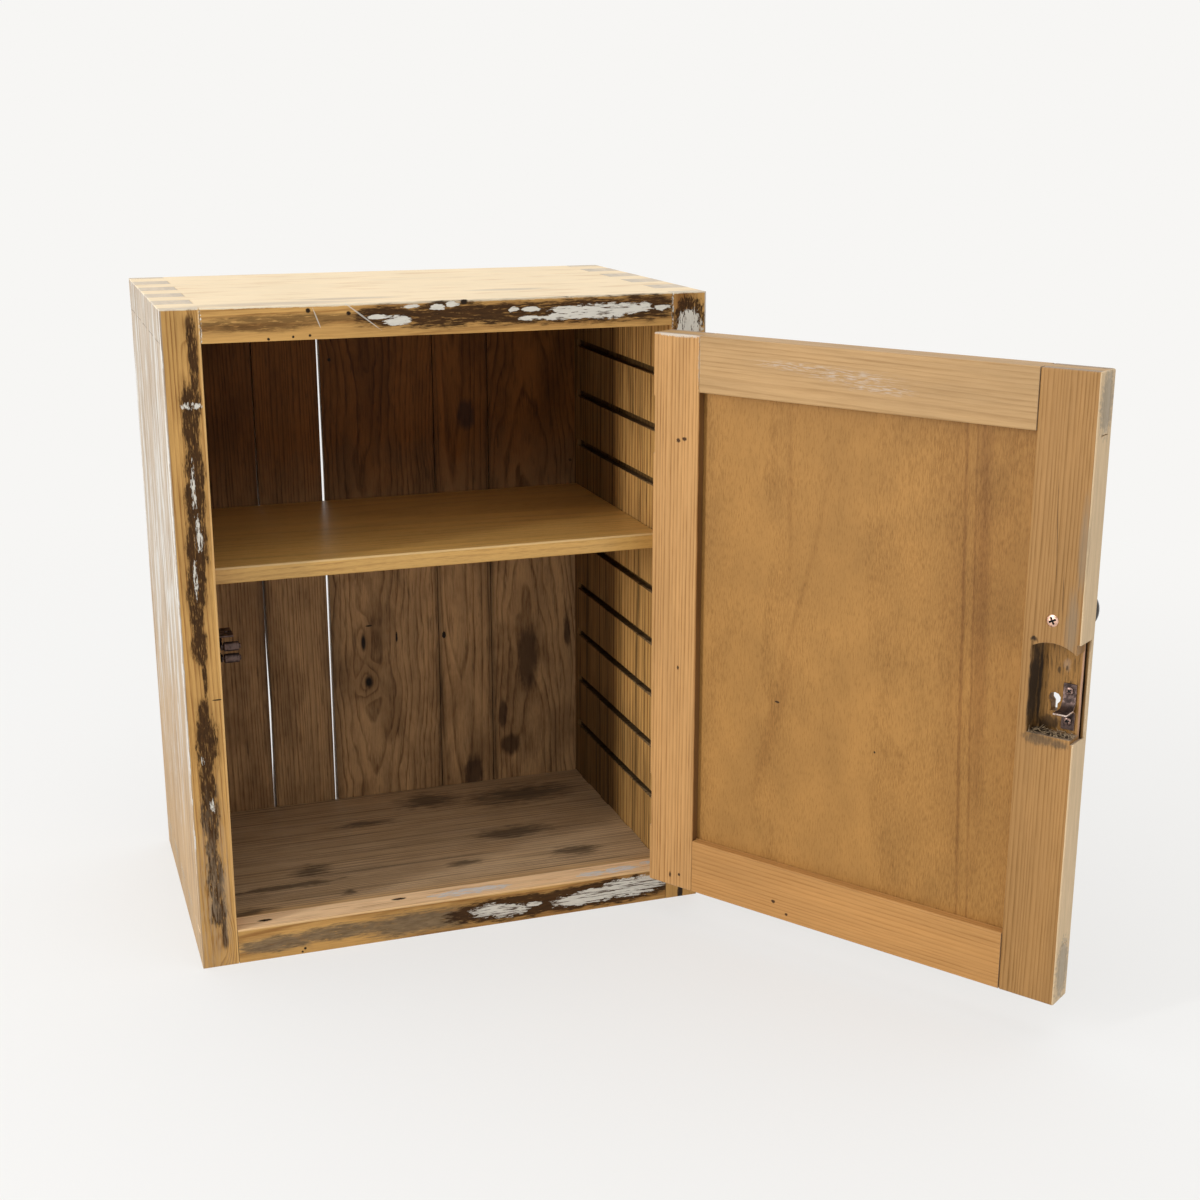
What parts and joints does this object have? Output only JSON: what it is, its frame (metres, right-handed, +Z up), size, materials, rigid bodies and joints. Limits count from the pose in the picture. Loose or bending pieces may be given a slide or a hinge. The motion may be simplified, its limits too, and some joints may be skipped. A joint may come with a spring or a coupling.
{
  "type": "medicine cabinet",
  "caption": "Small pine medicine cabinet with a dovetailed case, a boarded back, a sliding shelf in grooves and a side-hung panelled door held by a roller catch.",
  "frame": {"origin": "centre of the case's underside", "axes": "+Z up, -Y towards the front where the door hangs, +X to the right seen from the front"},
  "size_m": [0.5367, 0.522, 0.46],
  "materials": {
    "pine_sides": "waxed, worn",
    "pine_ends": "waxed, worn",
    "pine_back": "waxed, worn",
    "pine_shelf": "waxed, worn",
    "pine_door": "waxed, worn",
    "pine_panel": "waxed, worn",
    "hinge_metal": "dulled",
    "bronze_metal": "darkened",
    "copper_metal": "worn",
    "iron_metal": "rusted",
    "knob_black": "black stained"
  },
  "bodies": {
    "carcass": {"left_side": "pine_sides", "right_side": "pine_sides", "top_board": "pine_ends", "bottom_board": "pine_ends", "back_board_1": "pine_back", "back_board_2": "pine_back", "back_board_3": "pine_back", "back_board_4": "pine_back", "back_board_5": "pine_back", "back_nail_1_bottom": "iron_metal", "back_nail_1_top": "iron_metal", "back_nail_2_bottom": "iron_metal", "back_nail_2_top": "iron_metal", "back_nail_3_bottom": "iron_metal", "back_nail_3_top": "iron_metal", "back_nail_4_bottom": "iron_metal", "back_nail_4_top": "iron_metal", "back_nail_5_bottom": "iron_metal", "back_nail_5_top": "iron_metal", "hinge_lower_carcass_leaf": "hinge_metal", "hinge_upper_carcass_leaf": "hinge_metal", "hinge_lower_pin": "hinge_metal", "hinge_upper_pin": "hinge_metal", "hinge_lower_carcass_screw_1": "hinge_metal", "hinge_lower_carcass_screw_2": "hinge_metal", "hinge_upper_carcass_screw_1": "hinge_metal", "hinge_upper_carcass_screw_2": "hinge_metal", "catch_bracket": "bronze_metal", "catch_pivot_lower": "bronze_metal", "catch_pivot_upper": "bronze_metal", "catch_spring": "bronze_metal", "catch_screw_lower": "bronze_metal", "catch_screw_upper": "bronze_metal"},
    "shelf": {"shelf": "pine_shelf"},
    "door": {"door_hinge_stile": "pine_door", "door_lock_stile": "pine_door", "door_top_rail": "pine_door", "door_bottom_rail": "pine_door", "door_panel": "pine_panel", "hinge_lower_door_leaf": "hinge_metal", "hinge_upper_door_leaf": "hinge_metal", "hinge_lower_door_screw_1": "hinge_metal", "hinge_lower_door_screw_2": "hinge_metal", "hinge_upper_door_screw_1": "hinge_metal", "hinge_upper_door_screw_2": "hinge_metal", "knob": "knob_black", "knob_screw": "copper_metal", "strike": "bronze_metal", "strike_screw_lower": "copper_metal", "strike_screw_upper": "copper_metal"},
    "catch_arm_upper": {"catch_arm_upper": "bronze_metal", "catch_axle_upper": "bronze_metal"},
    "catch_arm_lower": {"catch_arm_lower": "bronze_metal", "catch_axle_lower": "bronze_metal"},
    "catch_roller_upper": {"catch_roller_upper": "bronze_metal"},
    "catch_roller_lower": {"catch_roller_lower": "bronze_metal"}
  },
  "joints": [
    {"name": "door_swing", "type": "hinge", "parent": "carcass", "child": "door", "pos_m": [0.1609, -0.1222, 0.2315], "axis": [0, 0, 1], "range_deg": [-123.5, 56.5]},
    {"name": "shelf_slide", "type": "slide", "parent": "carcass", "child": "shelf", "axis": [0, 1, 0], "range_m": [0, 0.006]},
    {"name": "catch_arm_upper_swing", "type": "hinge", "parent": "carcass", "child": "catch_arm_upper", "pos_m": [-0.1592, -0.0855, 0.23], "axis": [-1, 0, 0], "range_deg": [0, 8], "stiffness_Nm_per_rad": 0.3, "springref_deg": -5.73, "deforming": ["catch_spring"]},
    {"name": "catch_arm_lower_swing", "type": "hinge", "parent": "carcass", "child": "catch_arm_lower", "pos_m": [-0.1592, -0.0855, 0.218], "axis": [1, 0, 0], "range_deg": [0, 8], "stiffness_Nm_per_rad": 0.3, "springref_deg": -5.73, "deforming": ["catch_spring"]},
    {"name": "catch_roller_upper_spin", "type": "hinge", "parent": "catch_arm_upper", "child": "catch_roller_upper", "pos_m": [-0.1522, -0.0985, 0.2282], "axis": [1, 0, 0], "continuous": true},
    {"name": "catch_roller_lower_spin", "type": "hinge", "parent": "catch_arm_lower", "child": "catch_roller_lower", "pos_m": [-0.1522, -0.0985, 0.2198], "axis": [1, 0, 0], "continuous": true}
  ],
  "couplings": [
    {"joint": "catch_arm_lower_swing", "follows": "catch_arm_upper_swing", "ratio": 1}
  ]
}
